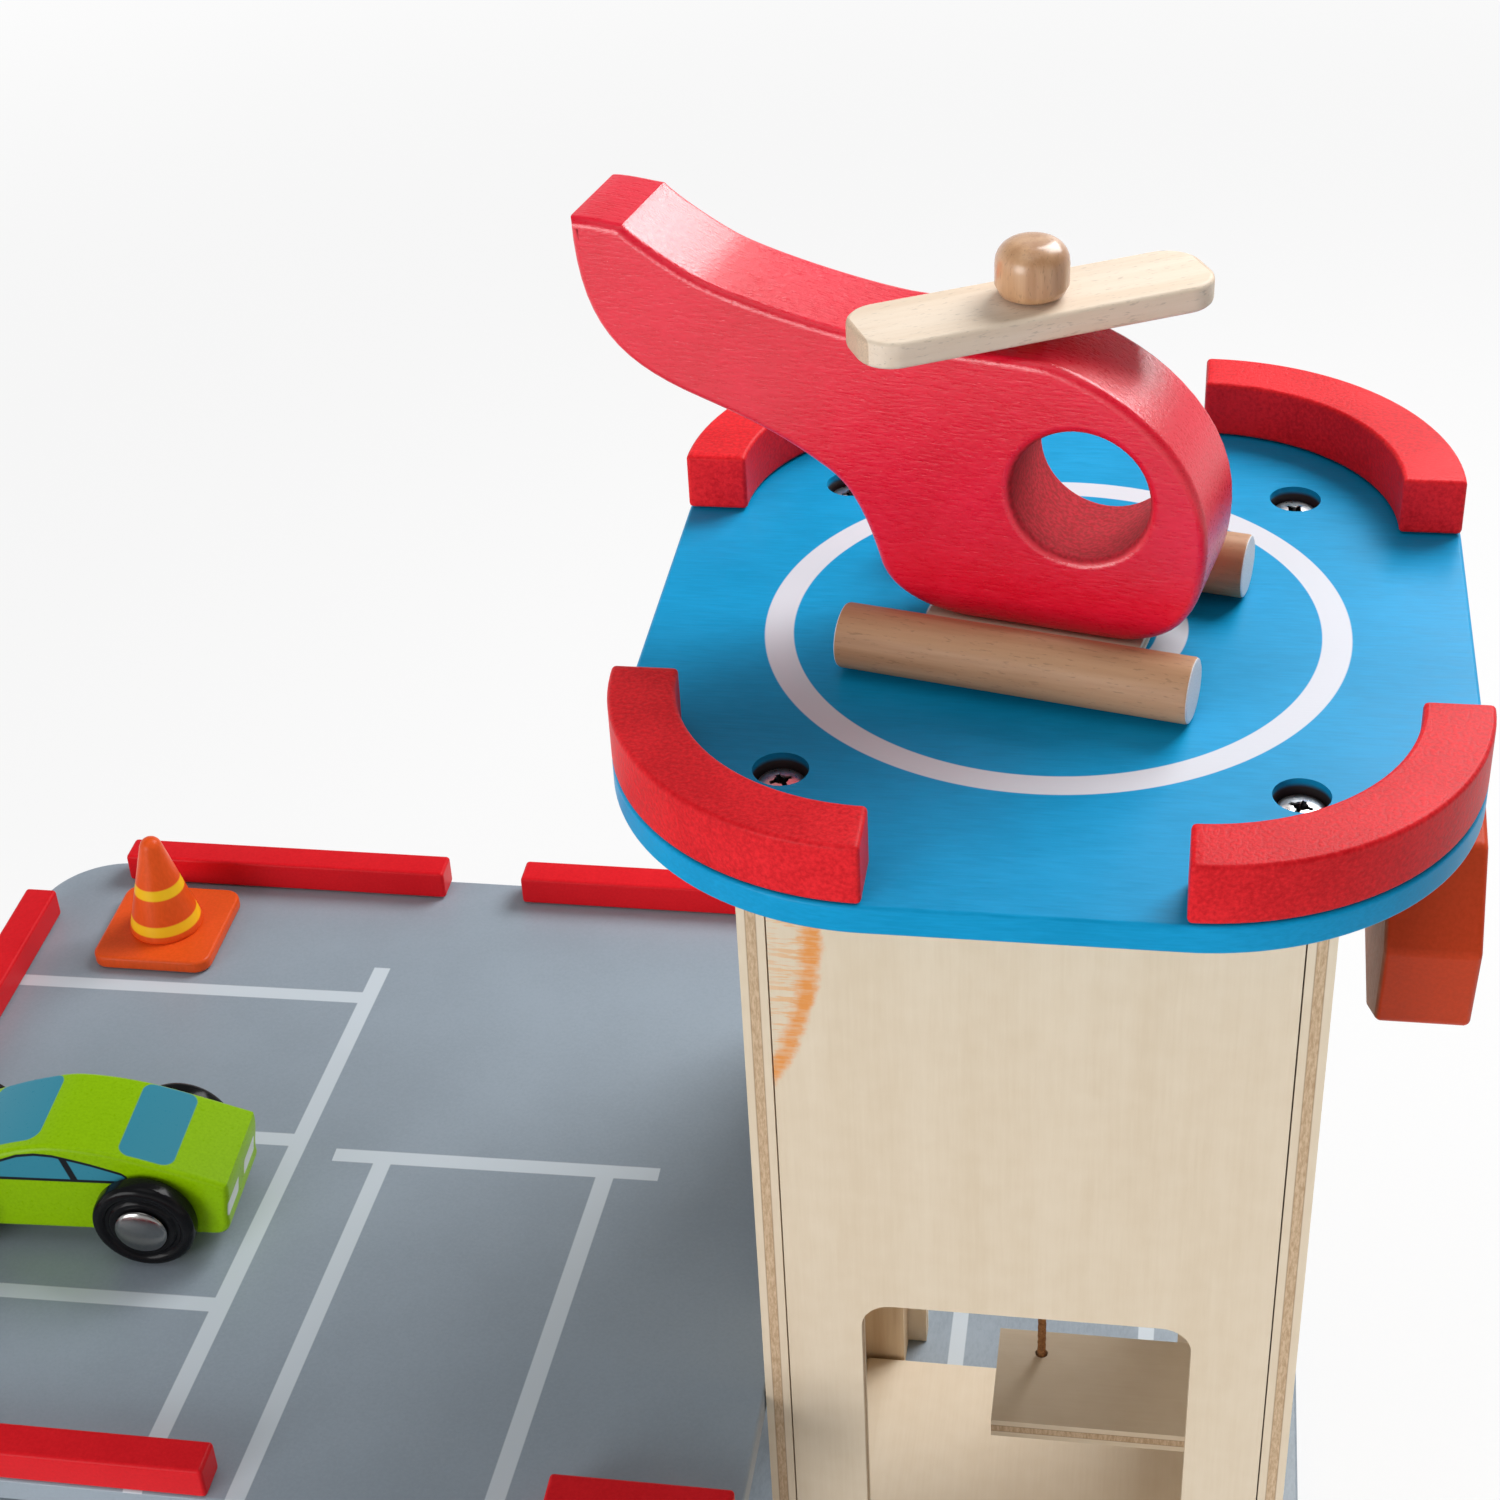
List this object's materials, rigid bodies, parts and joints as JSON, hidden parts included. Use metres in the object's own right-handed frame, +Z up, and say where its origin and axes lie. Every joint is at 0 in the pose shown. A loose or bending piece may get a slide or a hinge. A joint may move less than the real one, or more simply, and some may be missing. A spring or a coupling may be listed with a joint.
{
  "type": "toy parking garage",
  "caption": "Wooden toy parking garage with a winch-driven lift tower, helicopter pad, raised parking deck, plug-in ramp, helicopter, car and traffic cone.",
  "frame": {"origin": "underside of the ground board, below the middle of the lift tower", "axes": "+X from the parking deck towards the winch knob, +Y from the ramp and front towards the back, +Z up"},
  "size_m": [0.3433, 0.4574, 0.3425],
  "materials": {
    "birch_plywood": "bare sanded plywood",
    "bare_beech": "bare sanded wood",
    "brown_stain": "stained and waxed wood",
    "grey_paint": "satin paint with white lines",
    "blue_paint": "satin paint with white rings",
    "red_paint": "satin paint",
    "orange_red_paint": "satin paint",
    "orange_paint": "satin paint with yellow bands",
    "crimson_paint": "glossy paint over wood grain",
    "green_paint": "satin paint",
    "brown_cord": "twisted cord",
    "steel": "bright zinc plated",
    "black_plastic": "glossy"
  },
  "bodies": {
    "garage": {"ground_board": "grey_paint", "tower_front_panel": "birch_plywood", "tower_back_panel": "birch_plywood", "tower_left_panel": "birch_plywood", "tower_right_panel": "birch_plywood", "tower_post_front_left": "birch_plywood", "tower_post_front_right": "birch_plywood", "tower_post_back_left": "birch_plywood", "tower_post_back_right": "birch_plywood", "helipad_board": "blue_paint", "bumper_front_left": "red_paint", "bumper_front_right": "red_paint", "bumper_back_left": "red_paint", "bumper_back_right": "red_paint", "helipad_screw_front_left": "steel", "helipad_screw_front_right": "steel", "helipad_screw_back_left": "steel", "helipad_screw_back_right": "steel", "base_screw_front_left": "steel", "base_screw_front_right": "steel", "base_screw_back_left": "steel", "base_screw_back_right": "steel", "parking_deck": "grey_paint", "deck_post_front_left": "bare_beech", "deck_post_front_right": "bare_beech", "deck_post_back_left": "bare_beech", "deck_post_back_right": "bare_beech", "deck_ledge": "birch_plywood", "rail_back_left": "red_paint", "rail_back_right": "red_paint", "rail_left": "red_paint", "rail_front_left": "red_paint", "rail_front_right": "red_paint", "ramp_socket_strip": "birch_plywood"},
    "winch": {"winch_shaft": "bare_beech", "winch_knob": "orange_red_paint", "shaft_collar_left": "bare_beech", "shaft_collar_right": "bare_beech", "cord_turns": "brown_cord"},
    "lift": {"lift_floor": "birch_plywood", "lift_wall": "birch_plywood", "lift_roof": "birch_plywood", "cord_knot": "brown_cord", "lift_cord": "brown_cord"},
    "ramp": {"ramp_board": "grey_paint", "ramp_end_block": "birch_plywood"},
    "helicopter": {"helicopter_body": "crimson_paint", "helicopter_crosspiece": "birch_plywood", "skid_near": "bare_beech", "skid_far": "bare_beech", "rotor_peg": "brown_stain"},
    "rotor": {"rotor_blade": "bare_beech"},
    "car": {"car_body": "green_paint"},
    "car_front_wheels": {"front_axle": "steel", "wheel_front_near": "black_plastic", "wheel_front_far": "black_plastic"},
    "car_rear_wheels": {"rear_axle": "steel", "wheel_rear_near": "black_plastic", "wheel_rear_far": "black_plastic"},
    "cone": {"traffic_cone": "orange_paint"}
  },
  "joints": [
    {"name": "winch_turn", "type": "hinge", "parent": "garage", "child": "winch", "pos_m": [0, 0, 0.208], "axis": [1, 0, 0], "range_deg": [0, 806]},
    {"name": "lift_slide", "type": "slide", "parent": "garage", "child": "lift", "axis": [0, 0, 1], "range_m": [0, 0.1027], "deforming": ["lift_cord"]},
    {"name": "ramp_pull_off", "type": "slide", "parent": "garage", "child": "ramp", "axis": [0, -1, 0], "range_m": [0, 0.05]},
    {"name": "helicopter_lift_off", "type": "slide", "parent": "garage", "child": "helicopter", "axis": [0, 0, 1], "range_m": [0, 0.1]},
    {"name": "rotor_spin", "type": "hinge", "parent": "helicopter", "child": "rotor", "pos_m": [-0.00521, -0.00066, 0.32942], "axis": [0, 0, 1], "continuous": true},
    {"name": "car_lift_off", "type": "slide", "parent": "garage", "child": "car", "axis": [0, 0, 1], "range_m": [0, 0.06]},
    {"name": "front_wheels_roll", "type": "hinge", "parent": "car", "child": "car_front_wheels", "pos_m": [-0.23847, -0.02525, 0.1285], "axis": [-0.0471, 0.9989, 0], "continuous": true},
    {"name": "rear_wheels_roll", "type": "hinge", "parent": "car", "child": "car_rear_wheels", "pos_m": [-0.19032, -0.02298, 0.1285], "axis": [-0.0471, 0.9989, 0], "continuous": true},
    {"name": "cone_lift_off", "type": "slide", "parent": "garage", "child": "cone", "axis": [0, 0, 1], "range_m": [0, 0.06]}
  ],
  "couplings": [
    {"joint": "lift_slide", "follows": "winch_turn", "m_per_rad": 0.0073}
  ]
}
